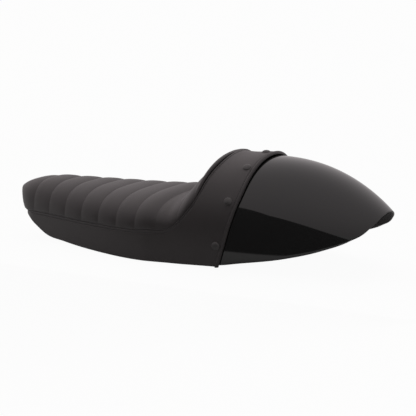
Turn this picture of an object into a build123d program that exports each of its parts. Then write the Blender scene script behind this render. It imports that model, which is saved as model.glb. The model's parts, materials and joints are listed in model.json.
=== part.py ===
from build123d import *
import math
import os

os.makedirs("parts", exist_ok=True)

# Solo motorcycle seat with a gloss tail cowl. All sizes are millimetres.
# Stations run from the nose (0) towards the tail along +X, +Z is up, and the
# part is the same on both sides of the XZ plane. The finished pieces are moved
# so that the origin is the middle of the four thread inserts under the pan.

# plan shape, measured on the outside of the vinyl
seat_width = 271.0
nose_loss = 82.0
taper_power = 1.3
nose_round = 45.0
widest_x = 340.0
tail_length = 453.0
tail_power = 3.0
tail_root = 1.9

# heights above the lowest level of the skirt's reference line
seam_z = 72.0
crest_z = 215.0
shoulder_z = 78.0
arch_power = 2.25
arch_root = 2.1
tail_drop = 81.5
drop_start = 540.0
drop_power = 2.3
tip_x = 763.0
skirt_z = 18.0
pad_rise = 55.4
pad_power = 2.8

# tuck-and-roll panel
first_channel = 44.0
roll_pitch = 45.5
flat_rolls = 8
hump_roll = 30.0
hump_reach = 56.0
roll_bulge = 4.5
nose_overhang = 12.5
nose_under = 6.0
nose_run = 40.0
nose_power = 2.2
nose_z = 106.0

# sheet thicknesses and the clearances between the layers
cover_t = 3.0
layer_gap = 0.3
pan_t = 2.5
floor_t = 4.0
cowl_t = 3.0
panel_t = 3.0
floor_z = 51.0
edge_t = 1.5
fit_gap = 0.15
foam_gap = 0.8
foam_slack = 0.8
foot_drop = 2.5

# hem, snaps and screws
hem_x = 484.7
hem_lean = 0.287
binding_w = 6.0
binding_t = 0.9
snap_d = 15.0
cap_h = 2.8
post_d = 4.4
snap_x = 474.0
snap_lean = 0.225
snap_levels = (60.0, 141.0, 197.0)
rim_x = 455.0
rim_lean = 0.25
rim_overlap = 30.0
screw_levels = (55.0, 150.0)
screw_d = 4.0

# fixing points under the pan
insert_dx = 160.0
insert_dy = 110.0
insert_x = 230.0
insert_d = 9.0
insert_bore = 5.0
insert_l = 12.0
boss_d = 18.0
bumper_d = 26.0
bumper_h = 12.0
bumper_stem = 8.0
bumper_cup = 9.0
bumper_dx = 220.0
bumper_dy = 100.0
rib_t = 3.0
rib_h = 12.0
rib_y = 30.0
rib_reach = 135.0

# derived positions
half_width = seat_width / 2
hard_in = cover_t + layer_gap
pan_in = hard_in + pan_t
cowl_out = pan_in + layer_gap
cowl_in = cowl_out + cowl_t
last_flat = first_channel + flat_rolls * roll_pitch
hump_x = last_flat + hump_reach
lift = crest_z - seam_z
wide = 2 * seat_width
boss_z = floor_z - floor_t - insert_l


def curve(points):
    """Smooth function through a few (station, height) points."""
    px = [p[0] for p in points]
    pz = [p[1] for p in points]
    last = len(px) - 1
    step = [px[i + 1] - px[i] for i in range(last)]
    slope = [(pz[i + 1] - pz[i]) / step[i] for i in range(last)]
    turn = [0.0] * (last + 1)
    for i in range(1, last):
        share = slope[i - 1] * step[i] + slope[i] * step[i - 1]
        turn[i] = share / (step[i - 1] + step[i])
    turn[0] = 2 * slope[0] - turn[1]
    turn[last] = 2 * slope[-1] - turn[last - 1]

    def height(x):
        i = 0
        while i < last - 1 and x > px[i + 1]:
            i += 1
        t = (x - px[i]) / step[i]
        low = (2 * t**3 - 3 * t**2 + 1) * pz[i] + (t**3 - 2 * t**2 + t) * step[i] * turn[i]
        high = (3 * t**2 - 2 * t**3) * pz[i + 1] + (t**3 - t**2) * step[i] * turn[i + 1]
        return low + high

    return height


# side-view lines
seam_points = [
    (-30.0, seam_z - 2.5),
    (hump_x - 364, seam_z - 1.5),
    (hump_x - 234, seam_z - 1.2),
    (hump_x - 124, seam_z + 3.5),
    (hump_x - 67, seam_z + 0.11 * lift),
    (hump_x - 40, seam_z + 0.307 * lift),
    (hump_x - 20, seam_z + 0.546 * lift),
    (hump_x - 10, seam_z + 0.783 * lift),
    (hump_x - 3, seam_z + 0.937 * lift),
    (hump_x + 1, seam_z + 1.05 * lift),
]
pad_points = [
    (-30.0, seam_z + pad_rise - 9),
    (0.0, seam_z + pad_rise - 4),
    (30.0, seam_z + pad_rise - 1),
    (60.0, seam_z + pad_rise),
    (90.0, seam_z + pad_rise),
    (hump_x - 260, seam_z + pad_rise),
    (hump_x - 190, seam_z + pad_rise + 0.5),
    (hump_x - 155, seam_z + pad_rise + 1.6),
    (hump_x - 119, seam_z + pad_rise + 5),
    (hump_x - 89, seam_z + pad_rise + 12),
    (hump_x - 56, seam_z + 0.573 * lift),
    (hump_x - 26, seam_z + 0.77 * lift),
    (hump_x - 9, seam_z + 0.93 * lift),
    (hump_x + 1, crest_z),
]
skirt_points = [
    (-30.0, seam_z - 6),
    (0.0, seam_z - 10.5),
    (20.0, seam_z - 12.6),
    (nose_round, skirt_z + 29),
    (77.0, skirt_z + 13.2),
    (130.0, skirt_z + 6),
    (260.0, skirt_z),
    (hem_x + 5, skirt_z + 4.5),
    (hem_x + 80, skirt_z + 6),
]
floor_points = [
    (-30.0, seam_z - 4.6),
    (0.0, seam_z - 4.3),
    (22.0, seam_z - 5.7),
    (50.0, seam_z - 11),
    (85.0, floor_z + 3.2),
    (130.0, floor_z),
    (220.0, floor_z),
    (hump_x - 160, floor_z),
    (hump_x - 115, floor_z + 0.6),
    (hump_x - 74, floor_z + 7),
    (hump_x - 44, seam_z + 0.11 * lift),
    (hump_x - 23, seam_z + 0.39 * lift),
    (hump_x - 9, seam_z + 0.67 * lift),
    (hump_x, seam_z + 0.86 * lift),
    (hump_x + 8, seam_z + 0.99 * lift),
    (hump_x + 12, seam_z + 1.07 * lift),
]
tip_z = crest_z - cowl_out - tail_drop
edge_points = [
    (tip_x - 363, skirt_z + 5.5),
    (tip_x - 318, skirt_z + 5.2),
    (tip_x - 275, skirt_z + 6.3),
    (tip_x - 233, skirt_z + 13.7),
    (tip_x - 150, skirt_z + 29),
    (tip_x - 83, skirt_z + 48),
    (tip_x - 40, skirt_z + 66),
    (tip_x - 14, skirt_z + 84),
    (tip_x, tip_z - 4),
    (tip_x + 9, tip_z + 26),
]
seam_line = curve(seam_points)
pad_line = curve(pad_points)
skirt_line = curve(skirt_points)
floor_line = curve(floor_points)
edge_line = curve(edge_points)


def half_at(x):
    """Half-width of the vinyl's outside at a station."""
    if x > widest_x:
        t = min((x - widest_x) / tail_length, 0.9999)
        cowl_half = half_width - cowl_out
        return cowl_half * (1 - t**tail_power) ** (1 / tail_root) + cowl_out
    taper = half_width - nose_loss * ((widest_x - x) / widest_x) ** taper_power
    if x < nose_round:
        t = 1 - max(x, 0.0) / nose_round
        taper = taper * (1 - t**2.5) ** 0.4
    return taper


def top_at(x):
    """Height of the vinyl's outside on the centre line of the hump and tail."""
    t = max(0.0, (x - drop_start) / (tip_x - drop_start))
    return crest_z - tail_drop * t**drop_power


def leaned(rule, x, inset):
    """A half-width or height moved in by a layer, with its slope allowed for."""
    slope = (rule(x + 0.5) - rule(x - 0.5)) if x > widest_x else 0.0
    base = rule(x) - cowl_out
    return base + (cowl_out - inset) * math.sqrt(1 + slope**2)


def arch_half(x, z, inset=0.0):
    """Half-width of a layer at a station and height."""
    half = leaned(half_at, x, inset)
    top = leaned(top_at, x, inset)
    t = min(max((z - shoulder_z) / (top - shoulder_z), 0.0), 1.0)
    return half * (1 - t**arch_power) ** (1 / arch_root)


def arch_face(x, inset):
    """Cross-section of a layer: upright walls under a rounded arch."""
    half = leaned(half_at, x, inset)
    top = leaned(top_at, x, inset)
    side = []
    for t in (0.0, 0.42, 0.72, 0.92):
        y = half * (1 - t**arch_power) ** (1 / arch_root)
        side.append((x, y, shoulder_z + t * (top - shoulder_z)))
    arch = [(x, -p[1], p[2]) for p in side] + [(x, 0, top)] + side[::-1]
    crown = Spline(*arch)
    foot = Polyline((x, half, shoulder_z), (x, half, -20), (x, -half, -20), (x, -half, shoulder_z))
    return make_face(Wire(crown.edges() + foot.edges()))


def plan_face(inset):
    """Plan of the seat from the nose to the widest station, one layer in."""
    stations = [nose_round * (1 - math.cos(math.radians(a)) ** 0.8) for a in (12, 36, 62)]
    stations += [nose_round + (widest_x - nose_round) * i / 3 for i in range(3)]
    side = []
    for x in stations:
        slope = half_at(x + 0.05) - half_at(x - 0.05)
        length = math.hypot(0.1, slope)
        side.append((x + inset * slope / length, half_at(x) - inset * 0.1 / length))
    end = half_width - inset
    far = [(inset, 0.0)] + side + [(widest_x, end)]
    near = [(p[0], -p[1]) for p in side[::-1]]
    outline = Spline((widest_x, -end), *near, *far)
    return make_face(Wire([outline.edge(), Line((widest_x, -end), (widest_x, end)).edge()]))


def layer(inset, stations):
    """Solid inside one layer of the seat and tail, as far as the last station."""
    tail = loft([arch_face(x, inset) for x in stations])
    seat = extrude(Pos(0, 0, -20) * plan_face(inset), seam_z + 60, dir=(0, 0, 1))
    return seat.fuse(tail)


def tail_layer(inset, stations):
    """Solid inside one layer of the tail alone."""
    return loft([arch_face(x, inset) for x in stations])


def slab(*edges):
    """Side-view outline carried across the full width."""
    face = make_face(Wire([e.edge() for e in edges]))
    return extrude(Pos(0, wide / 2, 0) * face, wide, dir=(0, -1, 0))


def side_spline(rule, stations, rise=0.0):
    """Side-view curve of a rule through evenly chosen stations."""
    return Spline(*[(x, 0, rule(x) + rise) for x in stations])


def at_origin(shape):
    return Pos(-insert_x, 0, -boss_z) * shape


def save(shape, name):
    export_step(at_origin(shape), "parts/" + name + ".step")


# the seat and hump share one set of stations, the cowl another
soft_stations = [widest_x, 410, 480, 530, 580]
hard_stations = [widest_x, 430, 500, 560, 610, 650, 685, 715, 740, 760, 776]
high = crest_z + 60
low = -15.0

# side-view curves that trim the layers
hump_steps = (124, 67, 40, 20, 10, 3, 0)
seam_x = [-30, 60, 180, 280] + [hump_x - d for d in hump_steps]
skirt_x = [-20, 0, 20, 45, 77, 130, 260, hem_x + 40]
kick_steps = (120, 92, 62, 36, 16, 0, -11)
floor_x = [-20, 0, 26, 58, 95, 135, 240] + [hump_x - d for d in kick_steps]
edge_steps = (340, 305, 275, 254, 233, 150, 83, 40, 14, 0, -6)
edge_x = [tip_x - d for d in edge_steps]


def floor_under(x):
    """Point on the lower face of the pan's floor."""
    slope = floor_line(x + 0.5) - floor_line(x - 0.5)
    length = math.hypot(1.0, slope)
    return (x + floor_t * slope / length, 0, floor_line(x) - floor_t / length)


def behind(line_x, lean):
    """Everything to the rear of a leaning line."""
    front = ((line_x + lean * low, 0, low), (line_x + lean * high, 0, high))
    return slab(*Polyline(*front, (950, 0, high), (950, 0, low), close=True).edges())


def over(edge):
    """Everything above a curve that runs up the hump."""
    start = edge @ 0
    end = edge @ 1
    box = Polyline(end, (end.X, 0, high), (-40, 0, high), (-40, 0, start.Z), start)
    return slab(*edge.edges(), *box.edges())


def under(top_edge, rise):
    """Between the skirt's lower edge and a curve that runs up the hump."""
    bottom = side_spline(skirt_line, skirt_x, rise)
    start = top_edge @ 0
    end = top_edge @ 1
    foot = bottom @ 1
    rear = Polyline(foot, (700, 0, foot.Z), (700, 0, high), (end.X, 0, high), end)
    front = Polyline(start, (start.X - 5, 0, start.Z), (start.X - 5, 0, (bottom @ 0).Z), bottom @ 0)
    return slab(*bottom.edges(), *rear.edges(), *top_edge.edges(), *front.edges())


core = layer(hard_in, soft_stations)
outside = layer(0.0, soft_stations)
inside = layer(cover_t, soft_stations)
wall_in = layer(pan_in, soft_stations)

seam_edge = side_spline(seam_line, seam_x)
floor_edge = side_spline(floor_line, floor_x)
under_edge = Spline(*[floor_under(x) for x in floor_x])
cavity_end = under_edge @ 1
cavity_start = under_edge @ 0
cavity_box = Polyline(
    cavity_end,
    (cavity_end.X, 0, high),
    (700, 0, high),
    (700, 0, low),
    (cavity_start.X, 0, low),
    cavity_start,
)
cavity = wall_in & slab(*under_edge.edges(), *cavity_box.edges())

# vinyl side cover: skirt and hump band
cover = ((outside - inside) & under(seam_edge, 0.0)) - behind(hem_x, hem_lean)

# moulded pan: floor, kick-up behind the rider, and side walls down to the edge
pan = (core & under(floor_edge, edge_t + layer_gap)) - behind(rim_x, rim_lean)
pan = pan - cavity
bosses = []
insert_spots = [(insert_x + a * insert_dx / 2, b * insert_dy / 2) for a in (-1, 1) for b in (-1, 1)]
bumper_spots = [(insert_x + a * bumper_dx / 2, b * bumper_dy / 2) for a in (-1, 1) for b in (-1, 1)]
cup_z = floor_z - floor_t - bumper_cup
for x, y in insert_spots:
    bosses.append(Pos(x, y, boss_z) * extrude(Circle(boss_d / 2), insert_l + 1))
for x, y in bumper_spots:
    bosses.append(Pos(x, y, cup_z) * extrude(Circle(bumper_stem), bumper_cup + 2))
rib_low = floor_z - floor_t - rib_h
for y in (-rib_y, rib_y):
    rib = Pos(insert_x, y, rib_low) * extrude(Rectangle(2 * rib_reach, rib_t), 60)
    bosses.append(rib & cavity)
for x in (insert_x - insert_dx / 4, insert_x + insert_dx / 4):
    rib = Pos(x, 0, rib_low) * extrude(Rectangle(rib_t, 2 * rib_y), 60)
    bosses.append(rib & cavity)
for boss in bosses:
    pan = pan.fuse(boss)
for x, y in insert_spots:
    pan = pan - Pos(x, y, boss_z - 1) * extrude(Circle(insert_d / 2 + fit_gap / 3), insert_l + 1.2)
for x, y in bumper_spots:
    pan = pan - Pos(x, y, cup_z - 1) * extrude(Circle(bumper_stem / 2 + fit_gap), bumper_cup + 1)


def pad_half(x):
    """Half-width of the padded panel where it meets the seam."""
    if x < first_channel:
        reach = first_channel + nose_overhang
        return half_at((x + nose_overhang) * first_channel / reach)
    return arch_half(x, seam_line(x))


def pad_top(x, bulge):
    """Height of the padded panel on the centre line."""
    full = pad_line(x) + bulge
    if x < nose_run:
        t = min((nose_run - x) / (nose_run + nose_overhang), 1.0)
        return nose_z + (full - nose_z) * (1 - t**nose_power) ** (1 / nose_power)
    return full


def pad_foot(x):
    """Lower limit of a pad section: below the seam, which trims it afterwards."""
    slope = seam_line(x + 0.5) - seam_line(x - 0.5)
    if x < nose_under:
        t = min((nose_under - x) / (nose_under + nose_overhang), 1.0)
        seam = seam_line(x) + fit_gap
        return nose_z - (nose_z - seam) * math.sqrt(1 - t**2)
    drop = foot_drop * min((x - nose_under) / nose_under, 1.0)
    return seam_line(x) - drop * math.hypot(1.0, slope)


def crown(x, half, foot, top, power):
    """Rounded loaf line from the near foot over the top to the far foot."""
    side = []
    for t in (0.0, 0.5, 0.8, 0.95):
        y = half * (1 - t**power) ** (1 / power)
        side.append((x, y, foot + t * (top - foot)))
    points = [(x, -p[1], p[2]) for p in side] + [(x, 0, top)] + side[::-1]
    return Spline(*points)


def roll_line(x, bulge):
    """Outside of the rolled panel at a station."""
    return crown(x, pad_half(x), pad_foot(x), pad_top(x, bulge), pad_power + 0.08 * bulge)


def bun_line(x, inset, slack=0.0):
    """Outside of the smooth bun under the rolls at a station."""
    half = half_at(x) if x < first_channel else arch_half(x, seam_line(x))
    slope = half_at(x + 0.5) - half_at(x - 0.5) if x < first_channel else 0.0
    side = inset * math.hypot(1.0, slope) + slack
    return crown(x, half - side, pad_foot(x), pad_top(x, 0.0) - inset, pad_power)


def full_face(x, bulge):
    """Section where the panel is filled right through."""
    line = roll_line(x, bulge)
    return make_face(Wire([line.edge(), Line(line @ 1, line @ 0).edge()]))


def roll_face(x, bulge):
    """Section of the hollow panel, from its rolls to the bun under it."""
    line = roll_line(x, bulge)
    bun = bun_line(x, panel_t)
    feet = [Line(line @ 1, bun @ 1).edge(), Line(bun @ 0, line @ 0).edge()]
    return make_face(Wire([line.edge(), feet[0], bun.edge(), feet[1]]))


def foam_face(x):
    """Section of the foam from below the floor to the underside of the rolls."""
    line = bun_line(x, panel_t + foam_gap, foam_slack)
    spring = line @ 1
    depth = floor_line(x) - 8
    wall = spring.Y
    if x > widest_x:
        wall = min(wall, arch_half(x, spring.Z) - panel_t - foam_gap - foam_slack)
    foot = Polyline(spring, (x, wall, depth), (x, -wall, depth), line @ 0)
    return make_face(Wire(line.edges() + foot.edges()))


# tuck-and-roll top panel: one barrel between each pair of stitched channels
channels = [first_channel + i * roll_pitch for i in range(flat_rolls + 1)]
channels.append(last_flat + hump_roll)
nose_tip = 0.8 - nose_overhang
nose_fill = ((nose_tip, 0), (nose_tip + 4, 1.0), (nose_tip + 10, 2.0), (nose_tip + 17, 2.6), (14, 3.0))
nose_roll = ((14, 3.0), (22, 3.4), (32, 2.8), (first_channel, 0))
crest_roll = ((channels[-1], 0), (hump_x - 20, 2.6), (hump_x - 14, 2.6), (hump_x - 8, 1.6))
crest_fill = ((hump_x - 8, 1.6), (hump_x - 5, 0.9), (hump_x - 2, 0))
rolls = [loft([full_face(x, b) for x, b in nose_fill])]
rolls.append(loft([roll_face(x, b) for x, b in nose_roll]))
for front, back in zip(channels[:-1], channels[1:]):
    middle = (front + back) / 2
    rolls.append(loft([roll_face(front, 0), roll_face(middle, roll_bulge), roll_face(back, 0)]))
rolls.append(loft([roll_face(x, b) for x, b in crest_roll]))
rolls.append(loft([full_face(x, b) for x, b in crest_fill]))
panel = rolls[0]
for roll in rolls[1:]:
    panel = panel.fuse(roll)
panel = panel & over(side_spline(seam_line, seam_x, fit_gap))

# moulded foam under the panel and behind the skirt
buns = [loft([foam_face(x) for x in (15, 22, 32, first_channel)])]
for front, back in zip(channels[:-1], channels[1:]):
    buns.append(loft([foam_face(x) for x in (front, (front + back) / 2, back)]))
buns.append(loft([foam_face(x) for x in (channels[-1], hump_x - 20, hump_x - 14, hump_x - 9)]))
foam = buns[0]
for bun in buns[1:]:
    foam = foam.fuse(bun)
foam = foam & over(side_spline(floor_line, floor_x, layer_gap))

# gloss cowl: thin shell, open below, its edge sweeping up to the tail
shell = tail_layer(cowl_out, hard_stations) - tail_layer(cowl_in, hard_stations)
sweep_edge = side_spline(edge_line, edge_x)
cowl_box = Polyline(
    sweep_edge @ 1,
    ((sweep_edge @ 1).X, 0, high),
    ((sweep_edge @ 0).X, 0, high),
    sweep_edge @ 0,
)
cowl = shell & slab(*sweep_edge.edges(), *cowl_box.edges())
cowl = cowl & behind(rim_x - rim_overlap, rim_lean)

# bound hem along the band's rear edge
bind_out = tail_layer(-binding_t, soft_stations)
bind_in = tail_layer(-fit_gap / 3, soft_stations)
strip = (bind_out - tail_layer(cover_t, soft_stations)) & under(seam_edge, -edge_t)
strip = strip & behind(hem_x - binding_w, hem_lean)
strip = strip - behind(hem_x + edge_t, hem_lean)
binding = strip - (bind_in - behind(hem_x + fit_gap / 3, hem_lean))


def on_layer(x, z, side, inset):
    """Location on a layer with its local Z along the outward normal."""
    if side == 0:
        slope = leaned(top_at, x + 0.5, inset) - leaned(top_at, x - 0.5, inset)
        spot = (x, 0, leaned(top_at, x, inset))
        return Plane(origin=spot, x_dir=(0, 1, 0), z_dir=(-slope, 0, 1)).location
    along = arch_half(x + 0.5, z, inset) - arch_half(x - 0.5, z, inset)
    up = arch_half(x, z + 0.5, inset) - arch_half(x, z - 0.5, inset)
    spot = (x, side * arch_half(x, z, inset), z)
    return Plane(origin=spot, x_dir=(1, side * along, 0), z_dir=(-along, side, -up)).location


def disc(diameter, bottom, top):
    return Pos(0, 0, bottom) * extrude(Circle(diameter / 2), top - bottom)


def places(levels, line_x, lean, inset):
    """Both sides at each level, and one on the centre line at the crest."""
    spots = [on_layer(line_x + lean * z, z, side, inset) for z in levels for side in (-1, 1)]
    return spots + [on_layer(line_x + lean * crest_z, crest_z, 0, inset)]


# press studs: domed cap outside, socket under the vinyl, stud and rivet through the cowl
snap_spots = places(snap_levels, snap_x, snap_lean, 0.0)
dome_r = (snap_d**2 / 4 + cap_h**2) / (2 * cap_h)
dome = Pos(0, 0, cap_h + layer_gap - dome_r) * Sphere(dome_r) & disc(snap_d, layer_gap, 2 * cap_h)
cap = dome.fuse(disc(post_d, -cover_t - 2 * layer_gap, 2 * layer_gap))
seat_d = cover_t + 0.5
deck = cowl_out
flange_top = -deck + 0.7
socket = disc(snap_d - 3, flange_top + layer_gap, -seat_d)
socket = socket - disc(post_d + 0.3, -seat_d - 0.4, -seat_d + 1) - disc(7.0, -deck, -seat_d - 1.1)
stud = disc(6.4, -deck + 0.5, -seat_d - 1.3).fuse(disc(9.6, -deck + layer_gap, flange_top))
stud = stud - disc(post_d + 0.2, -deck - 1, -deck + 1.2)
rivet = disc(8.0, -deck - cowl_t - 1.6, -deck - cowl_t - 2 * layer_gap)
rivet = rivet.fuse(disc(post_d, -deck - cowl_t - 0.9, -deck + 1.0))
caps = []
sockets = []
studs = []
rivets = []
for spot in snap_spots:
    caps.append(spot * cap)
    sockets.append(spot * socket)
    studs.append(spot * stud)
    rivets.append(spot * rivet)
    cover = cover - spot * disc(post_d + 0.3, -cover_t - 2, 2)
    cowl = cowl - spot * disc(post_d + 0.3, -deck - cowl_t - 3, -deck + 3)

# countersunk screws that hold the pan's rim to the cowl, with washers and nuts
screw_spots = places(screw_levels, rim_x - rim_overlap / 2, rim_lean, hard_in)
head_h = 0.55 * screw_d
sink = Pos(0, 0, -0.15 - head_h / 2) * Cone(screw_d / 2, screw_d * 0.95, head_h)
key = Pos(0, 0, -1.4) * extrude(RegularPolygon(1.25, 6, major_radius=False), 3)
rear = pan_t + layer_gap + cowl_t
screw = sink.fuse(disc(screw_d, -rear - 6, -1)) - key
washer = disc(2.25 * screw_d, -rear - 1.1, -rear - 0.3) - disc(screw_d + 0.3, -rear - 3, 0)
nut = Pos(0, 0, -rear - 4.4) * extrude(RegularPolygon(0.875 * screw_d, 6, major_radius=False), 3.2)
nut = nut - disc(screw_d + 0.1, -rear - 6, 0)
well = Pos(0, 0, -0.15 - head_h / 2) * Cone(screw_d / 2 + fit_gap, screw_d * 0.95 + fit_gap, head_h)
well = well.fuse(disc(2 * (screw_d * 0.95 + fit_gap), -0.16, 2))
screws = []
washers = []
nuts = []
for spot in screw_spots:
    screws.append(spot * screw)
    washers.append(spot * washer)
    nuts.append(spot * nut)
    pan = pan - spot * well - spot * disc(screw_d + 0.4, -pan_t - 2, 1)
    cowl = cowl - spot * disc(screw_d + 0.4, -rear - 2, -pan_t + 1)

# threaded inserts and push-in rubber bumpers under the floor
insert = extrude(Circle(insert_d / 2) - Circle(insert_bore / 2), insert_l)
inserts = [Pos(x, y, boss_z) * insert for x, y in insert_spots]
foot = Pos(0, 0, -bumper_h) * extrude(Circle(bumper_d / 2), bumper_h)
foot = fillet(foot.edges().group_by(Axis.Z)[0], 3)
foot = foot.fuse(extrude(Circle(bumper_stem / 2), bumper_cup - 0.5))
bumpers = [Pos(x, y, cup_z - 0.05) * foot for x, y in bumper_spots]

pieces = {
    "cowl_shell": cowl,
    "seat_pan": pan,
    "seat_foam": foam,
    "top_panel": panel,
    "side_cover": cover,
    "hem_binding": binding,
    "snap_caps": Compound(children=caps),
    "snap_sockets": Compound(children=sockets),
    "snap_studs": Compound(children=studs),
    "snap_rivets": Compound(children=rivets),
    "cowl_screws": Compound(children=screws),
    "cowl_washers": Compound(children=washers),
    "cowl_nuts": Compound(children=nuts),
    "thread_inserts": Compound(children=inserts),
    "rubber_bumpers": Compound(children=bumpers),
}
for name, shape in pieces.items():
    save(shape, name)
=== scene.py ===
"""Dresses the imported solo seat: rolled vinyl pad, sewn skirt and hump band, gloss tail cowl.

Shapes are worked out in station millimetres, as on a drawing board: x runs from the nose
towards the tail, z is up and the part is the same on both sides. to_frame() moves a point
into the frame's metres, whose origin is the middle of the four thread inserts.
"""

import json
import math
from typing import NamedTuple

import bmesh
import bpy
import numpy as np
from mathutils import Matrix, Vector


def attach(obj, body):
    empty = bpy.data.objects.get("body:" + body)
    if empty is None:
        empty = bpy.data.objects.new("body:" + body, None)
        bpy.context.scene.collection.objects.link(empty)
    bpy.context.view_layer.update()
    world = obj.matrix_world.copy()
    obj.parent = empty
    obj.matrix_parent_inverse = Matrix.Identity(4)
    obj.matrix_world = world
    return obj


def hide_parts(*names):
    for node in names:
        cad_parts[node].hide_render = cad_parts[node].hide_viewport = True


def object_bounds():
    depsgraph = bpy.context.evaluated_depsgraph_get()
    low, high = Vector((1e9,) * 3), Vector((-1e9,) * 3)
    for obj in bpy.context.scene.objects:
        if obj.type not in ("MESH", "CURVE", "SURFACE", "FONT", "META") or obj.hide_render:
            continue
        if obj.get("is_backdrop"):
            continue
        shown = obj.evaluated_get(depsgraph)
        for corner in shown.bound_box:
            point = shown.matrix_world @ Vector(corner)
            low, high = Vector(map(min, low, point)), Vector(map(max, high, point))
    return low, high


bl_info = {
    "name": "Solo seat with tail cowl",
    "version": (1, 0, 0),
    "blender": (4, 5, 0),
    "location": "View3D > Sidebar > Seat",
    "description": "Rolled vinyl, stitching, press studs and a gloss cowl around the packed seat",
    "category": "Object",
}

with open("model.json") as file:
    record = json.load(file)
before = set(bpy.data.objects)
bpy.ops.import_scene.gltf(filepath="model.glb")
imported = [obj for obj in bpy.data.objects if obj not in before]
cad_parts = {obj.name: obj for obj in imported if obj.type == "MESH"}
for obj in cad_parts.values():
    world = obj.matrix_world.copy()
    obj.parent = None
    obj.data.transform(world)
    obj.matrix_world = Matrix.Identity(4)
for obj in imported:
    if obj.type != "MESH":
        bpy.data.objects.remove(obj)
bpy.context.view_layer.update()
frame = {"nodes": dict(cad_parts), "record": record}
MM = 1000.0
ORIGIN = np.array((230.0, 0.0, 35.0))

# plan of the seat and tail, as in the part's source; a power or root bends a curve
SEAT_WIDTH = 271.0
HALF_WIDTH = SEAT_WIDTH / 2
NOSE_LOSS = 82.0
TAPER_POWER = 1.3
NOSE_ROUND = 45.0
NOSE_PLAN = 2.5
WIDEST_X = 340.0
TAIL_LENGTH = 453.0
TAIL_POWER = 3.0
TAIL_ROOT = 1.9
TAIL_STOP = 0.9999
TIP_X = 763.0

# heights, and the arch of the hump and tail
SEAM_Z = 72.0
CREST_Z = 215.0
LIFT = CREST_Z - SEAM_Z
SHOULDER_Z = 78.0
SKIRT_Z = 18.0
FLOOR_Z = 51.0
ARCH_POWER = 2.25
ARCH_ROOT = 2.1
ARC_SHARE = 1.35
TAIL_DROP = 81.5
DROP_START = 540.0
DROP_POWER = 2.3

# cowl: its skin lies inside the vinyl's, and its front rim leans back
COWL_OUT = 6.1
COWL_T = 3.0
COWL_COLUMNS = 121
COWL_ROWS = 60
BODY_END = 700.0
TIP_START = 703.0
TIP_ROWS = 36
TIP_EASE = 0.6
TIP_Z = CREST_Z - COWL_OUT - TAIL_DROP
CLOSING_RANGE = (TIP_X - 8, TIP_X + 9)
CLOSING_STEPS = 1701
CLOSING_GAP = 0.1
EDGE_LEAST = 0.02
RIM_X = 425.0
RIM_LEAN = 0.25
LEAN_END = 540.0
LEAN_FADE = 120.0
LEAN_ROUNDS = 6
LIP_ROUND = 1.2
LIP_ANGLES = (60, 30, 0, -30, -60)
LACQUER_EDGE = 0.5

# rolls of the pad, its rounded section and its overhanging nose
PAD_RISE = 56.5
PAD_POWER = 2.8
LOAF_SIZE = (110.0, 58.0)
LOAF_STEPS = 4001
PAD_COLUMNS = 97
PAD_WALL = 5.0
PAD_SEAT = 0.4
PAD_LEAST = 0.05
HUMP_POWER = 1.9
FIRST_CHANNEL = 44.0
ROLL_PITCH = 45.5
ROLL_POWER = 2.8
ROLL_ROWS = 18
ROLL_EASE = 0.75
SIDE_FADE = 0.1
SIDE_FADE_POWER = 0.6
SIDE_SWELL = 0.35
FLAT_ROLLS = 8
LAST_FLAT = FIRST_CHANNEL + FLAT_ROLLS * ROLL_PITCH
HUMP_ROLL = 30.0
HUMP_REACH = 56.0
HUMP_X = LAST_FLAT + HUMP_REACH
CROOK_FULL = 0.3
CROOK_RANGE = (LAST_FLAT - 40, LAST_FLAT + 8)
FREE_RISE = 0.75
FULLY_SEWN = 0.95
SEWN_COLUMNS = 2
CREST_GAP = 1.0
NOSE_FULL = 0.6
NOSE_ROWS = 26
NOSE_EASE = 1.5
NOSE_OVERHANG = 14.5
NOSE_LIP = 5.4
NOSE_LIP_SHARE = 0.12
NOSE_HANG = 6.0
NOSE_HANG_RUN = 40.0
NOSE_FLOOR_X = 14.0
NOSE_REACH = NOSE_OVERHANG + NOSE_LIP
NOSE_RUN = 41.0
NOSE_POWER = 1.65
NOSE_Z = 108.0
NOSE_RAKE = 0.75
PUFF_FRAMES = 20

# skirt and band: edges, and how the band gives over the crest, the shoulders and the studs
VINYL_T = 1.4
SIDE_END = 352.0
NOSE_COLUMNS = 22
NOSE_TURN = (2.0, 90.0)
NOSE_SPACING = 0.8
SIDE_COLUMNS = 62
HUMP_COLUMNS = 72
LOW_COLUMNS = 24
FIELD_ROWS = 24
EDGE_ROWS = 11
EDGE_STRIP = 11.0
FINE = 600
SKIRT_FULL = 30.0
TUCK = 3.9
FOLD_LIP = 3.0
FOLD_ANGLES = (25, 50, 75, 90, 105, 130, 155, 180)
BAND_FOLD = 3.0
SKIRT_FOLD = 8.3
BAND_TURN = 9.0
SKIRT_TURN = 15.0
TURN_LEAST = 0.3
TURN_SHARES = (0.3, 0.65, 1.0)
TURN_END = 415.0
TURN_FADE = 30.0
FLOOR_GAP = 5.5
CREST_SAG = 2.8
SAG_LEAD = 14.0
CREST_RANGE = (0.55, 0.95)
CREST_HOLD = (0.3, 0.9)
SHOULDER_GIVE = 1.6
SHOULDER_SHARE = 0.6
SHOULDER_RUN = 60.0
SHOULDER_LEAD = 4.0
HEM_LIFT = 0.8
HEM_LIFT_RUN = 20.0

# hem and press studs
HEM_X = 484.7
HEM_LEAN = 0.287
HEM_SWEEP = 8.0
HEM_SWEEP_RANGE = (140.0, 225.0)
HEM_WIDTH = 5.9
HEM_DROP = 1.3
HEM_COLUMNS = 90
HEM_BLEND = (-1.0, 3.0)
HEM_THIN = 0.7
HEM_GROOVE = 0.7
GROOVE_WIDTH = 1.5
SNAP_X = 474.0
SNAP_LEAN = 0.225
SNAP_LEVELS = (60.0, 141.0, 197.0)
SNAP_D = 16.0
CAP_H = 3.0
CAP_LIFT = 0.7
CAP_SIDES = 40
STUD_RISE = 1.0
STUD_REACH = 10.0

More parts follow.
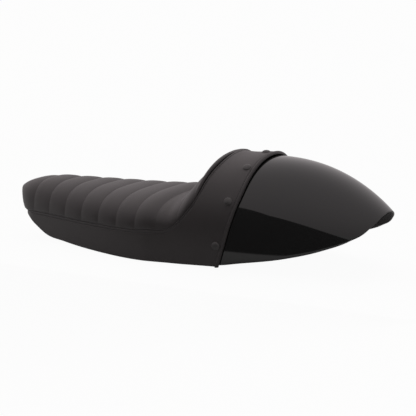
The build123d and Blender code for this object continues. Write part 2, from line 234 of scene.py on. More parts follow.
# stitches and staples
SEAM_STITCH = 5.2
SEAM_SINK = 0.65
HEM_STITCH = 6.0
HEM_SINK = 0.55
HEM_START = 1.0
NOSE_SKIP = 4
STITCH_SIDES = 6
STAPLE_RUN = (110.0, 385.0)
STAPLE_STEPS = 120
STAPLE_UP = 10.0
STAPLE_INSET = 8.4
STAPLE_LONG = 10.0
STAPLE_THICK = 1.1

# small steps: for slopes and directions, for welding points in metres, and for lengths that may be nothing
PROBE = 0.05
HALF_STEP = 0.5
STEP = 1.0
WELD = 2e-6
TINY = 1e-9

# the photograph's camera, in station millimetres, degrees and pixels of a 416 frame; its clip is in metres
VIEW_AZIMUTH = 28.4
VIEW_ELEVATION = 11.3
VIEW_DISTANCE = 2600.0
VIEW_TARGET = (400.0, 0.0, 100.0)
VIEW_FOCAL_PX = 1368.0
VIEW_CENTRE_V = 207.0
VIEW_CLIP_M = 50.0
FRAME_PX = 416.0
SENSOR_MM = 36.0

# stage, in metres
FLOOR_REACH = 40.0
FLOOR_DROP = 0.0005
SUN_FROM = (-0.7, 0.7, 1.74)
SUN_TINT = (1.0, 0.955, 0.945)
SKY_TINT = (1.0, 0.935, 0.95, 1.0)
WHITE = (1.0, 1.0, 1.0, 1.0)
FLAG_PLAN = ((-0.3, -0.27), (0.7, -0.27), (0.265, -0.63), (-0.07, -1.1), (-0.3, -1.1))
FLAG_RISE = 0.73
FLAG_LIFT = 0.001


def to_frame(points):
    """Station millimetres to the frame's metres."""
    return (np.asarray(points, float) - ORIGIN) / MM


def from_frame(points):
    """The frame's metres to station millimetres."""
    return np.asarray(points, float) * MM + ORIGIN


def curve(points):
    """Smooth function through a few (station, height) points."""
    px, pz = np.array(points, float).T
    step = np.diff(px)
    slope = np.diff(pz) / step
    turn = np.empty(len(px))
    turn[1:-1] = (slope[:-1] * step[1:] + slope[1:] * step[:-1]) / (step[:-1] + step[1:])
    turn[0] = 2 * slope[0] - turn[1]
    turn[-1] = 2 * slope[-1] - turn[-2]

    def height(x):
        x = np.asarray(x, float)
        i = np.clip(np.searchsorted(px, x) - 1, 0, len(step) - 1)
        t = (x - px[i]) / step[i]
        low = (2 * t**3 - 3 * t**2 + 1) * pz[i] + (t**3 - 2 * t**2 + t) * step[i] * turn[i]
        high = (3 * t**2 - 2 * t**3) * pz[i + 1] + (t**3 - t**2) * step[i] * turn[i + 1]
        return low + high

    return height


# line along which the panel is sewn to the cover
seam_line = curve(
    [
        (-30.0, SEAM_Z - 2.5),
        (HUMP_X - 364, SEAM_Z - 1.5),
        (HUMP_X - 234, SEAM_Z - 1.2),
        (HUMP_X - 124, SEAM_Z + 3.5),
        (HUMP_X - 67, SEAM_Z + 0.11 * LIFT),
        (HUMP_X - 40, SEAM_Z + 0.307 * LIFT),
        (HUMP_X - 20, SEAM_Z + 0.546 * LIFT),
        (HUMP_X - 10, SEAM_Z + 0.783 * LIFT),
        (HUMP_X - 3, SEAM_Z + 0.937 * LIFT),
        (HUMP_X + 1, SEAM_Z + 1.05 * LIFT),
    ]
)
# top of the pad on the centre line, at its channels
pad_line = curve(
    [
        (-30.0, SEAM_Z + PAD_RISE - 9),
        (0.0, SEAM_Z + PAD_RISE - 4),
        (30.0, SEAM_Z + PAD_RISE - 1),
        (60.0, SEAM_Z + PAD_RISE),
        (90.0, SEAM_Z + PAD_RISE),
        (HUMP_X - 260, SEAM_Z + PAD_RISE),
        (HUMP_X - 190, SEAM_Z + PAD_RISE + 0.5),
        (HUMP_X - 155, SEAM_Z + PAD_RISE + 1.6),
        (HUMP_X - 119, SEAM_Z + PAD_RISE + 3.2),
        (HUMP_X - 92, SEAM_Z + PAD_RISE),
        (HUMP_X - 78, SEAM_Z + PAD_RISE + 2),
        (HUMP_X - 56, SEAM_Z + 0.593 * LIFT),
        (HUMP_X - 26, SEAM_Z + 0.832 * LIFT),
        (HUMP_X - 9, SEAM_Z + 0.974 * LIFT),
        (HUMP_X + 1, CREST_Z - 1.8),
    ]
)
# lower edge of the skirt
skirt_line = curve(
    [
        (-30.0, SEAM_Z - 6),
        (0.0, SEAM_Z - 11),
        (20.0, SEAM_Z - 14.6),
        (NOSE_ROUND, SKIRT_Z + 25),
        (77.0, SKIRT_Z + 9.8),
        (130.0, SKIRT_Z + 3.6),
        (260.0, SKIRT_Z - 2.8),
        (HEM_X + 5, SKIRT_Z + 3.8),
        (HEM_X + 80, SKIRT_Z + 6),
    ]
)
# top of the pan, on which the pad lies
floor_line = curve(
    [
        (-30.0, SEAM_Z - 4.6),
        (0.0, SEAM_Z - 4.3),
        (22.0, SEAM_Z - 5.7),
        (50.0, SEAM_Z - 11),
        (85.0, FLOOR_Z + 3.2),
        (130.0, FLOOR_Z),
        (220.0, FLOOR_Z),
        (HUMP_X - 160, FLOOR_Z),
        (HUMP_X - 115, FLOOR_Z + 0.6),
        (HUMP_X - 74, FLOOR_Z + 7),
        (HUMP_X - 44, SEAM_Z + 0.11 * LIFT),
        (HUMP_X - 23, SEAM_Z + 0.39 * LIFT),
        (HUMP_X - 9, SEAM_Z + 0.67 * LIFT),
        (HUMP_X, SEAM_Z + 0.86 * LIFT),
        (HUMP_X + 8, SEAM_Z + 0.99 * LIFT),
        (HUMP_X + 12, SEAM_Z + 1.07 * LIFT),
    ]
)
# lower edge of the cowl, sweeping up to the tail
edge_line = curve(
    [
        (TIP_X - 363, SKIRT_Z + 5.5),
        (TIP_X - 318, SKIRT_Z + 5.2),
        (TIP_X - 275, SKIRT_Z + 6.3),
        (TIP_X - 233, SKIRT_Z + 13.7),
        (TIP_X - 150, SKIRT_Z + 29),
        (TIP_X - 83, SKIRT_Z + 48),
        (TIP_X - 40, SKIRT_Z + 66),
        (TIP_X - 14, SKIRT_Z + 84),
        (TIP_X, TIP_Z - 4),
        (TIP_X + 9, TIP_Z + 26),
    ]
)


def half_at(x):
    """Half-width of the vinyl's outside at a station."""
    x = np.asarray(x, float)
    back = np.clip((x - WIDEST_X) / TAIL_LENGTH, 0.0, TAIL_STOP)
    tail = (HALF_WIDTH - COWL_OUT) * (1 - back**TAIL_POWER) ** (1 / TAIL_ROOT) + COWL_OUT
    ahead = np.clip((WIDEST_X - x) / WIDEST_X, 0.0, None)
    round_in = np.clip(1 - x / NOSE_ROUND, 0.0, 1.0)
    front = (HALF_WIDTH - NOSE_LOSS * ahead**TAPER_POWER) * (1 - round_in**NOSE_PLAN) ** (1 / NOSE_PLAN)
    return np.where(x > WIDEST_X, tail, front)


def top_at(x):
    """Height of the vinyl's outside on the centre line of the hump and tail."""
    t = np.clip((np.asarray(x, float) - DROP_START) / (TIP_X - DROP_START), 0.0, None)
    return CREST_Z - TAIL_DROP * t**DROP_POWER


def leaned(rule, x, inset):
    """A half-width or height moved in by a layer, with its slope allowed for."""
    slope = (rule(x + HALF_STEP) - rule(x - HALF_STEP)) / (2 * HALF_STEP)
    return rule(x) - COWL_OUT + (COWL_OUT - inset) * np.hypot(1.0, slope)


def arc_of(x, z, inset):
    """Distance up the section from the shoulder to a height."""
    rise = leaned(top_at, x, inset) - SHOULDER_Z
    share = np.clip((z - SHOULDER_Z) / rise, 0.0, 1.0)
    turn = np.arcsin(share ** (ARCH_POWER / 2))
    return np.where(z > SHOULDER_Z, turn * ARC_SHARE * rise, z - SHOULDER_Z)


def crest_arc(x):
    """Arc of the crest, where the two sides meet."""
    return ARC_SHARE * (top_at(x) - SHOULDER_Z) * math.pi / 2


def on_arch(x, arc, inset):
    """Point of a layer's near side at a station and distance up the section."""
    half = leaned(half_at, x, inset)
    rise = leaned(top_at, x, inset) - SHOULDER_Z
    turn = np.clip(arc / (ARC_SHARE * rise), 0.0, math.pi / 2)
    z = np.where(arc > 0, SHOULDER_Z + rise * np.sin(turn) ** (2 / ARCH_POWER), SHOULDER_Z + arc)
    y = half * np.clip(np.cos(turn), 0.0, 1.0) ** (2 / ARCH_ROOT)
    return np.stack(np.broadcast_arrays(x, -y, z), -1)


def on_plan(x, z, inset):
    """Point of a layer's near side ahead of the widest station, at a height."""
    slope = (half_at(x + PROBE) - half_at(x - PROBE)) / (2 * PROBE)
    length = np.hypot(1.0, slope)
    y = half_at(x) - inset / length
    return np.stack(np.broadcast_arrays(x + inset * slope / length, -y, z), -1)


def on_layer(x, arc, inset):
    """Point of a layer's near side, on the plan ahead of the widest station."""
    x, arc, inset = np.broadcast_arrays(*(np.asarray(v, float) for v in (x, arc, inset)))
    behind = (x > WIDEST_X)[..., None]
    return np.where(behind, on_arch(x, arc, inset), on_plan(x, SHOULDER_Z + arc, inset))


def eased(value, low, high):
    """Smooth step from 0 at low to 1 at high."""
    t = np.clip((value - low) / (high - low), 0.0, 1.0)
    return t * t * (3 - 2 * t)


def snap_at(z):
    """Station of the row of press studs at a height."""
    return SNAP_X + SNAP_LEAN * z


def stud_centres():
    """Where the near side's press studs and the one on the crest meet the smooth band."""
    centres = []
    for z in SNAP_LEVELS + (CREST_Z,):
        x = snap_at(z)
        centres.append(on_layer(x, arc_of(x, z, 0.0), 0.0))
    return centres


def give(x, arc):
    """How far the band lies in from its smooth line: a sag over the crest, less over the studs."""
    x, arc = np.broadcast_arrays(np.asarray(x, float), np.asarray(arc, float))
    crown = np.clip(arc / crest_arc(x), 0.0, 1.0)
    start = HUMP_X - SAG_LEAD
    stop = snap_at(CREST_Z)
    sag = CREST_SAG * np.sin(math.pi * np.clip((x - start) / (stop - start), 0.0, 1.0))
    inset = eased(crown, *CREST_RANGE) * (sag - HEM_LIFT * eased(x, stop, stop + HEM_LIFT_RUN))
    near_seam = eased(x, HUMP_X - SHOULDER_RUN, HUMP_X - SHOULDER_LEAD)
    near_seam = near_seam * (1 - eased(x, HUMP_X, HUMP_X + SHOULDER_RUN))
    hollow = np.sin(math.pi * np.clip((1 - crown) / SHOULDER_SHARE, 0.0, 1.0)) ** 2
    inset = inset + SHOULDER_GIVE * near_seam * hollow
    spot = on_layer(x, arc, 0.0)
    for centre in stud_centres():
        far = np.linalg.norm(spot - centre, axis=-1)
        inset = inset - STUD_RISE * np.exp(-((far / STUD_REACH) ** 2))
    return inset


def on_band(x, arc, inset):
    """Point of the band or skirt with its give, where the crest stays the crest at any depth."""
    depth = inset + give(x, arc)
    share = (leaned(top_at, x, depth) - SHOULDER_Z) / (top_at(x) - SHOULDER_Z)
    high = eased(arc / crest_arc(x), *CREST_HOLD)
    return on_layer(x, arc * (1 - high * (1 - share)), depth)


def unit(vectors):
    """The same directions with length 1."""
    return vectors / np.maximum(np.linalg.norm(vectors, axis=-1, keepdims=True), TINY)


def normals_of(grid):
    """Unit normals of a grid of points, from its rows and columns."""
    return unit(np.cross(np.gradient(grid, axis=0), np.gradient(grid, axis=1)))


def mirrored(points):
    """Points or directions moved to the far side."""
    return points * np.array((1.0, -1.0, 1.0))


def both_halves(near):
    """Near half and its mirror image as one grid, joined at the near half's last column."""
    return np.concatenate((near, mirrored(near)[:, ::-1][:, 1:]), 1)


def spread(start, stop, count, ease=0.0):
    """Stations from start to stop, closer at both ends as ease goes to 1."""
    u = np.linspace(0.0, 1.0, count)
    u = (1 - ease) * u + ease * (0.5 - 0.5 * np.cos(math.pi * u))
    return start + (stop - start) * u


def distances(line):
    """Distance of each point of a line from its start."""
    step = np.linalg.norm(np.diff(line, axis=0), axis=1)
    return np.concatenate(([0.0], np.cumsum(step)))


def at_distance(far, values, want):
    """Values between a line's points, at distances along it."""
    return np.stack([np.interp(want, far, column) for column in values.T], -1)


def along_run(run, count):
    """Evenly spaced points along a line of points."""
    far = distances(run)
    return at_distance(far, run, np.linspace(0.0, far[-1], count))


def mesh_piece(name, points, faces, sewn=None):
    """Smooth mesh object from points in station millimetres, with marks where it is sewn down."""
    mesh = bpy.data.meshes.new(name)
    mesh.from_pydata(to_frame(np.reshape(points, (-1, 3))).tolist(), [], faces)
    if sewn is not None:
        mesh.attributes.new("sewn", "FLOAT", "POINT").data.foreach_set("value", sewn)
    work = bmesh.new()
    work.from_mesh(mesh)
    bmesh.ops.remove_doubles(work, verts=work.verts, dist=WELD)
    bmesh.ops.dissolve_degenerate(work, edges=work.edges, dist=WELD / 2)
    bmesh.ops.recalc_face_normals(work, faces=work.faces)
    for face in work.faces:
        face.smooth = True
    work.to_mesh(mesh)
    work.free()
    piece = bpy.data.objects.new(name, mesh)
    bpy.context.scene.collection.objects.link(piece)
    return piece


def grid_faces(rows, columns, wrap=False, start=0):
    """Quads between neighbouring rows and columns of a grid of points."""
    faces = []
    for i in range(rows - 1):
        here = start + i * columns
        below = here + columns
        for j in range(columns if wrap else columns - 1):
            side = (j + 1) % columns
            faces.append((here + j, here + side, below + side, below + j))
    return faces


def tube_faces(rows, around, start=0):
    """Faces of a closed tube: quads round it and a face over each end."""
    last = start + (rows - 1) * around
    ends = [tuple(range(first, first + around)) for first in (start, last)]
    return grid_faces(rows, around, True, start) + ends


def apply_modifiers(piece):
    """Keeps the evaluated mesh and drops the modifiers."""
    graph = bpy.context.evaluated_depsgraph_get()
    mesh = bpy.data.meshes.new_from_object(piece.evaluated_get(graph))
    piece.modifiers.clear()
    piece.data = mesh


def settle(piece, slot, material, *nodes):
    """Rides on the part, takes its finish and stands for its nodes."""
    piece.data.materials.clear()
    piece.data.materials.append(material)
    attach(piece, "root")
    if nodes:
        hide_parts(*nodes)
    return piece


# materials


class Finish(NamedTuple):
    """Look of a surface: grain is its cells to a metre, depth their bump, drift its change of tone."""

    name: str
    colour: tuple
    rough: float
    grain: float
    depth: float
    drift: float = 0.2
    metal: float = 0.0
    sheen: float = 0.5


def new_material(name):
    """Material with nodes, and its shader."""
    material = bpy.data.materials.new(name)
    material.use_nodes = True
    return material, material.node_tree.nodes["Principled BSDF"]


def math_node(nodes, operation, *values):
    """Math node with fixed values on its inputs, None where a link comes in."""
    node = nodes.new("ShaderNodeMath")
    node.operation = operation
    for socket, value in zip(node.inputs, values):
        if value is not None:
            socket.default_value = value
    return node


def grain_group():
    """Pebbled grain and slow drift of tone that the finishes share."""
    group = bpy.data.node_groups.new("pebble_grain", "ShaderNodeTree")
    for label, default in (("Grain Scale", 900.0), ("Drift Scale", 14.0), ("Drift", 0.25)):
        socket = group.interface.new_socket(label, in_out="INPUT", socket_type="NodeSocketFloat")
        socket.default_value = default
    for label in ("Height", "Tone"):
        group.interface.new_socket(label, in_out="OUTPUT", socket_type="NodeSocketFloat")
    nodes = group.nodes
    links = group.links
    inside = nodes.new("NodeGroupInput")
    outside = nodes.new("NodeGroupOutput")
    place = nodes.new("ShaderNodeTexCoord")
    cells = nodes.new("ShaderNodeTexVoronoi")
    cells.feature = "SMOOTH_F1"
    cells.inputs["Smoothness"].default_value = 0.6
    creases = nodes.new("ShaderNodeTexNoise")
    creases.inputs["Detail"].default_value = 3.0
    drift = nodes.new("ShaderNodeTexNoise")
    drift.inputs["Detail"].default_value = 2.0
    both = math_node(nodes, "ADD")
    centre = math_node(nodes, "SUBTRACT", None, 0.5)
    swing = math_node(nodes, "MULTIPLY_ADD", None, None, 1.0)
    for texture in (cells, creases, drift):
        links.new(place.outputs["Object"], texture.inputs["Vector"])
    for texture in (cells, creases):
        links.new(inside.outputs["Grain Scale"], texture.inputs["Scale"])
    links.new(inside.outputs["Drift Scale"], drift.inputs["Scale"])
    links.new(cells.outputs["Distance"], both.inputs[0])
    links.new(creases.outputs["Fac"], both.inputs[1])
    links.new(both.outputs["Value"], outside.inputs["Height"])
    links.new(drift.outputs["Fac"], centre.inputs[0])
    links.new(centre.outputs["Value"], swing.inputs[0])
    links.new(inside.outputs["Drift"], swing.inputs[1])
    links.new(swing.outputs["Value"], outside.inputs["Tone"])
    return group


def grained(finish, group):
    """Material whose colour and roughness drift slowly and whose surface is pebbled."""
    material, shader = new_material(finish.name)
    shader.inputs["Metallic"].default_value = finish.metal
    shader.inputs["Specular IOR Level"].default_value = finish.sheen
    nodes = material.node_tree.nodes
    links = material.node_tree.links
    effect = nodes.new("ShaderNodeGroup")
    effect.node_tree = group
    effect.inputs["Grain Scale"].default_value = finish.grain
    effect.inputs["Drift"].default_value = finish.drift
    tint = nodes.new("ShaderNodeMix")
    tint.data_type = "RGBA"
    tint.blend_type = "MULTIPLY"
    tint.inputs["Factor"].default_value = 1.0
    tint.inputs["A"].default_value = (*finish.colour, 1.0)
    links.new(effect.outputs["Tone"], tint.inputs["B"])
    links.new(tint.outputs["Result"], shader.inputs["Base Color"])
    dull = math_node(nodes, "MULTIPLY", None, finish.rough)
    links.new(effect.outputs["Tone"], dull.inputs[0])
    links.new(dull.outputs["Value"], shader.inputs["Roughness"])
    bump = nodes.new("ShaderNodeBump")
    bump.inputs["Strength"].default_value = finish.depth
    bump.inputs["Distance"].default_value = 0.0002
    links.new(effect.outputs["Height"], bump.inputs["Height"])
    links.new(bump.outputs["Normal"], shader.inputs["Normal"])
    return material


def make_materials(looks):
    """Every finish of the seat, by the record's slot or the trim that wears it."""
    finishes = {
        "vinyl": Finish(
            "satin_vinyl", looks.vinyl_colour, looks.vinyl_roughness,
            grain=1100.0, depth=0.35, sheen=looks.vinyl_sheen,
        ),
        "thread": Finish("black_thread", looks.thread_colour, 0.6, grain=2500.0, depth=0.5),
        "cowl_gloss": Finish(
            "gloss_lacquer", looks.cowl_colour, looks.cowl_roughness,
            grain=60.0, depth=0.0, drift=0.1,
        ),
        "laminate": Finish("raw_laminate", (0.1, 0.095, 0.095), 0.7, grain=320.0, depth=0.6, drift=0.35),
        "pan_plastic": Finish("moulded_plastic", (0.03, 0.03, 0.031), 0.5, grain=1600.0, depth=0.5),
        "snap_black": Finish("cap_enamel", (0.03, 0.027, 0.027), 0.45, grain=400.0, depth=0.05),
        "steel": Finish(
            "plated_steel", (0.55, 0.55, 0.56), 0.35,
            grain=700.0, depth=0.1, drift=0.25, metal=1.0,
        ),
        "brass": Finish("turned_brass", (0.72, 0.55, 0.25), 0.32, grain=900.0, depth=0.15, metal=1.0),
        "rubber": Finish("soft_rubber", (0.02, 0.02, 0.02), 0.75, grain=900.0, depth=0.4),
    }
    group = grain_group()
    return {wearer: grained(finish, group) for wearer, finish in finishes.items()}


FINISHES = {}


def finish_of(wearer):
    """Material of a slot or trim, made with all the others on the first call."""
    if not FINISHES:
        FINISHES.update(make_materials(bpy.context.scene.seat_looks))
    return FINISHES[wearer]


# gloss cowl


def cowl_rows(offset, stations):
    """Grid of the cowl's outer skin, moved in by offset along its normals."""
    share = np.linspace(-1.0, 1.0, COWL_COLUMNS)
    level_x = np.repeat(stations[:, None], COWL_COLUMNS, 1)
    front = np.clip((LEAN_END - level_x) / LEAN_FADE, 0.0, 1.0) ** 2
    x = level_x
    # the lean needs the height and the height needs the station, so a few rounds settle both
    for _ in range(LEAN_ROUNDS):
        half = half_at(x) - COWL_OUT
        top = top_at(x) - COWL_OUT
        rise = top - SHOULDER_Z
        edge = np.minimum(edge_line(x), top - EDGE_LEAST)
        wall = np.clip(SHOULDER_Z - edge, 0.0, None)
        start = np.arcsin(np.clip((edge - SHOULDER_Z) / rise, 0.0, 1.0) ** (ARCH_POWER / 2))
        arc = ARC_SHARE * rise * (math.pi / 2 - start)
        along = (1 - np.abs(share)) * (wall + arc)
        turn = start + np.clip(along - wall, 0.0, None) / (ARC_SHARE * rise)
        turn = np.minimum(turn, math.pi / 2)
        over = SHOULDER_Z + rise * np.sin(turn) ** (2 / ARCH_POWER)
        z = np.where(along < wall, edge + along, over)
        y = half * np.clip(np.cos(turn), 0.0, 1.0) ** (2 / ARCH_ROOT) * np.sign(share)
        x = level_x + RIM_LEAN * z * front
    grid = np.stack((x, y, z), -1)
    return grid - offset * cowl_normal(grid)


def cowl_level(points):
    """One on the cowl's outer skin, more outside it."""
    x, y, z = np.moveaxis(points, -1, 0)
    half = half_at(x) - COWL_OUT
    rise = top_at(x) - COWL_OUT - SHOULDER_Z
    up = np.clip((z - SHOULDER_Z) / rise, 0.0, None)
    return (np.abs(y) / half) ** ARCH_ROOT + up**ARCH_POWER


def cowl_normal(points):
    """Outward direction of the cowl's outer skin."""
    slope = [cowl_level(points + step) - cowl_level(points - step) for step in np.eye(3) * PROBE]
    return unit(np.stack(slope, -1))


def closing_station():
    """Station where the cowl's lower edge meets its top."""
    x = np.linspace(*CLOSING_RANGE, CLOSING_STEPS)
    return x[top_at(x) - COWL_OUT - edge_line(x) > CLOSING_GAP][-1]


def rounded_lip(outer, inner, column, beside, angles):
    """Columns round the lower edge, from one skin of the cowl to the other."""
    middle = (outer + inner) / 2
    outward = (outer - inner)[:, column] / 2
    down = unit(middle[:, column] - middle[:, beside])
    columns = []
    for turn in np.radians(angles):
        lip = middle[:, column] + math.sin(turn) * outward + LIP_ROUND * math.cos(turn) * down
        columns.append(lip[:, None])
    return columns


def build_cowl():
    """Shell of the cowl with a rounded edge, lacquered outside and bare laminate inside."""
    body = spread(RIM_X, BODY_END, COWL_ROWS)
    tip = spread(TIP_START, closing_station(), TIP_ROWS, TIP_EASE)
    stations = np.concatenate((body, tip))
    outer = cowl_rows(0.0, stations)
    inner = cowl_rows(COWL_T, stations)
    far_lip = rounded_lip(outer, inner, -1, -3, LIP_ANGLES)
    near_lip = rounded_lip(outer, inner, 0, 2, LIP_ANGLES[::-1])
    grid = np.concatenate([outer] + far_lip + [inner[:, ::-1]] + near_lip, 1)
    piece = mesh_piece("tail_cowl", grid, tube_faces(*grid.shape[:2]))
    settle(piece, "cowl_gloss", finish_of("cowl_gloss"), "cowl_shell")
    piece.data.materials.append(finish_of("laminate"))
    for face in piece.data.polygons:
        if np.dot(cowl_normal(from_frame(face.center)), face.normal) < LACQUER_EDGE:
            face.material_index = 1


# side cover: skirt and hump band

# distance below the seam and inset: the turned-in edge, its ridge and the top-stitch groove
SEAM_PROFILE = (
    (0.0, 1.1),
    (0.5, 0.5),
    (1.3, 0.05),
    (2.6, -0.2),
    (3.8, 0.1),
    (4.6, 0.55),
    (5.2, 0.75),
    (5.8, 0.55),
    (6.8, 0.12),
    (8.2, 0.0),
    (10.0, 0.0),
)


def hem_at(z):
    """Station of the hem's rear edge: a leaning line that sweeps forward towards the crest."""
    return HEM_X + HEM_LEAN * z - HEM_SWEEP * eased(z, *HEM_SWEEP_RANGE)


def hem_foot():
    """Height at which the hem meets the skirt's lower edge."""
    return float(skirt_line(HEM_X + HEM_LEAN * SKIRT_Z))


def hem_line(raised=0.0, count=HEM_COLUMNS):
    """Near half of the hem's rear edge, as (station, arc) pairs from the skirt to the crest."""
    z = spread(hem_foot() + raised, CREST_Z, FINE)
    x = hem_at(z)
    arc = arc_of(x, np.minimum(z, top_at(x)), 0.0)
    arc[-1] = crest_arc(x[-1])
    return along_run(np.stack((x, arc), -1), count)


def cover_lines():
    """Near half of the seam and of the outer edge, as (station, arc) pairs from nose to crest.

    The third value is the column at which the outer edge turns up into the hem.
    """
    turn = np.radians(spread(*NOSE_TURN, NOSE_COLUMNS))
    nose = NOSE_ROUND * (1 - np.cos(turn) ** NOSE_SPACING)
    sides = np.concatenate(([0.0], nose, spread(NOSE_ROUND, SIDE_END, SIDE_COLUMNS)[1:]))
    hump = spread(SIDE_END, HUMP_X, FINE)
    hump_arc = arc_of(hump, np.minimum(seam_line(hump), CREST_Z), 0.0)
    hump_arc[-1] = crest_arc(HUMP_X)
    low = spread(SIDE_END, hem_at(hem_foot()), FINE)
    side_seam = np.stack((sides, seam_line(sides) - SHOULDER_Z), -1)
    hump_seam = along_run(np.stack((hump, hump_arc), -1), HUMP_COLUMNS)
    side_edge = np.stack((sides, skirt_line(sides) - SHOULDER_Z), -1)
    low_edge = along_run(np.stack((low, skirt_line(low) - SHOULDER_Z), -1), LOW_COLUMNS)
    hem = hem_line(count=HUMP_COLUMNS - LOW_COLUMNS + 1)
    seam = np.concatenate((side_seam, hump_seam[1:]))
    edge = np.concatenate((side_edge, low_edge[1:], hem[1:]))
    return seam, edge, len(sides) + LOW_COLUMNS - 2


def spans(seam, edge):
    """Direction and length from the seam to the outer edge, and the size of the sewn edges there."""
    gap = edge - seam
    length = np.linalg.norm(gap, axis=1)
    return unit(gap), length, np.minimum(length / SKIRT_FULL, 1.0)


def cover_rows(edge, corner, length, size, rear):
    """Distance from the seam and inset of each row: sewn edge, field, folded edge, turned-in strip."""
    skirt = np.clip((TURN_END - edge[:, 0]) / TURN_FADE, 0.0, 1.0)
    skirt[corner:] = 0.0
    lip = FOLD_LIP * size * (1 - HEM_THIN * rear)
    fold = BAND_FOLD + (SKIRT_FOLD - BAND_FOLD) * skirt
    room = floor_line(edge[:, 0]) - FLOOR_GAP - skirt_line(edge[:, 0])
    turned = np.clip(room, TURN_LEAST, SKIRT_TURN) * skirt + BAND_TURN * (1 - skirt)
    start = SEAM_PROFILE[-1][0] * size
    stop = np.maximum(length - EDGE_STRIP * size, start)
    rows = [(distance * size, inset) for distance, inset in SEAM_PROFILE]
    rows += [(start + (stop - start) * share, 0.0) for share in spread(0.0, 1.0, FIELD_ROWS)[1:]]
    rows += [(stop + (length - lip - stop) * share, 0.0) for share in spread(0.0, 1.0, EDGE_ROWS)[1:]]
    for turn in np.radians(FOLD_ANGLES):
        rows.append((length - lip * (1 - math.sin(turn)), fold / 2 * (1 - math.cos(turn))))
    return rows + [(length - lip - turned * share, fold) for share in TURN_SHARES]


def cover_grid():
    """Points of the cover's outside, with the groove of the stitches along its hem."""
    seam, edge, corner = cover_lines()
    ahead, length, size = spans(seam, edge)
    rear = eased(np.arange(len(length)) - corner, *HEM_BLEND)
    near = []
    for from_seam, inset in cover_rows(edge, corner, length - TUCK * rear, size, rear):
        x, arc = (seam + ahead * from_seam[:, None]).T
        from_groove = (length - from_seam - HEM_WIDTH) / GROOVE_WIDTH
        groove = HEM_GROOVE * rear * np.exp(-(from_groove**2))
        near.append(on_band(x, arc, inset + groove))
    return both_halves(np.stack(near))


def build_cover():
    """Skirt and band in one piece, with the vinyl's thickness inwards."""
    grid = cover_grid()
    piece = mesh_piece("skirt_and_band", grid, grid_faces(*grid.shape[:2]))
    wall = piece.modifiers.new("vinyl", "SOLIDIFY")
    wall.thickness = VINYL_T / MM
    wall.offset = -1.0
    apply_modifiers(piece)
    settle(piece, "vinyl", finish_of("vinyl"), "side_cover")


# rolled pad


def pad_edge(x):
    """Half-width and height of the line along which the panel is sewn to the cover."""
    spot = on_band(x, arc_of(x, np.minimum(seam_line(x), CREST_Z - CREST_GAP), 0.0), 0.0)
    return np.abs(spot[..., 1]), spot[..., 2]


def nose_half(x, z):
    """Half-width of the nose at a height: the cover's outline, pushed ahead as the underside rakes out."""
    low = SEAM_Z - NOSE_HANG
    share = np.clip((z - low) / (NOSE_Z - low), 0.0, 1.0)
    ahead = NOSE_LIP * eased(share, 0.0, NOSE_LIP_SHARE) + NOSE_OVERHANG * share**NOSE_RAKE
    return half_at(np.maximum((x + ahead) * FIRST_CHANNEL / (FIRST_CHANNEL + ahead), 0.0))


def pad_top(x):
    """Height of the panel's channels on the centre line."""
    full = pad_line(x)
    t = np.clip((NOSE_RUN - x) / (NOSE_RUN + NOSE_REACH), 0.0, 1.0)
    return np.where(x < NOSE_RUN, NOSE_Z + (full - NOSE_Z) * (1 - t**NOSE_POWER) ** (1 / NOSE_POWER), full)


def pad_foot(x, seam):
    """Lower limit of a pad section, raised where the nose overhangs the seam."""
    share = np.clip((-x - NOSE_LIP) / NOSE_OVERHANG, 0.0, 1.0) ** (1 / NOSE_RAKE)
    low = seam - NOSE_HANG * (1 - eased(x, 0.0, NOSE_HANG_RUN))
    return low + (NOSE_Z - low) * share


def roll_edges():
    """Stations of the sewn channels, from the nose to the seam on the crest."""
    edges = [-NOSE_REACH] + [FIRST_CHANNEL + i * ROLL_PITCH for i in range(FLAT_ROLLS + 1)]
    return edges + [LAST_FLAT + HUMP_ROLL, HUMP_X]


def roll_rows(swell):
    """Station, fullness and swell of each row of the pad, and whether a channel is sewn there."""
    edges = roll_edges()
    stations = [np.array(edges[:1])]
    full = [np.ones(1)]
    bulge = [np.zeros(1)]
    for front, back in zip(edges[:-1], edges[1:]):
        u = spread(0.0, 1.0, ROLL_ROWS, ROLL_EASE)
        size = min((back - front) / ROLL_PITCH, 1.0)
        if front < 0:
            u = spread(0.0, 1.0, NOSE_ROWS, ROLL_EASE) ** NOSE_EASE
            size = NOSE_FULL
        elif back == LAST_FLAT:
            size = CROOK_FULL
        stations.append(front + (back - front) * u[1:])
        full.append(np.full(len(u) - 1, size))
        bulge.append(swell * size * (1 - np.abs(2 * u[1:] - 1) ** ROLL_POWER))
    stations = np.concatenate(stations)
    return stations, np.concatenate(full), np.concatenate(bulge), np.isin(stations, edges)


def loaf_turns():
    """Angles that space the points of a rounded section evenly along it."""
    turn = np.linspace(0.0, math.pi, LOAF_STEPS)
    side = np.sign(np.cos(turn)) * np.abs(np.cos(turn)) ** (2 / PAD_POWER)
    up = np.sin(turn) ** (2 / PAD_POWER)
    far = distances(np.stack((side, up), -1) * LOAF_SIZE)
    return np.interp(np.linspace(0.0, far[-1], PAD_COLUMNS), far, turn)


def pad_underside(x, half, foot):
    """Columns below the pad: down its inner walls and along the top of the pan."""
    wall = np.maximum(half - PAD_WALL, 0.0)
    floor = np.where(x < NOSE_FLOOR_X, foot, np.minimum(floor_line(x) + PAD_SEAT, foot))
    corners = ((wall, foot), (wall, floor), (-wall, floor), (-wall, foot))
    return [np.stack((x, y, z), -1) for y, z in corners]


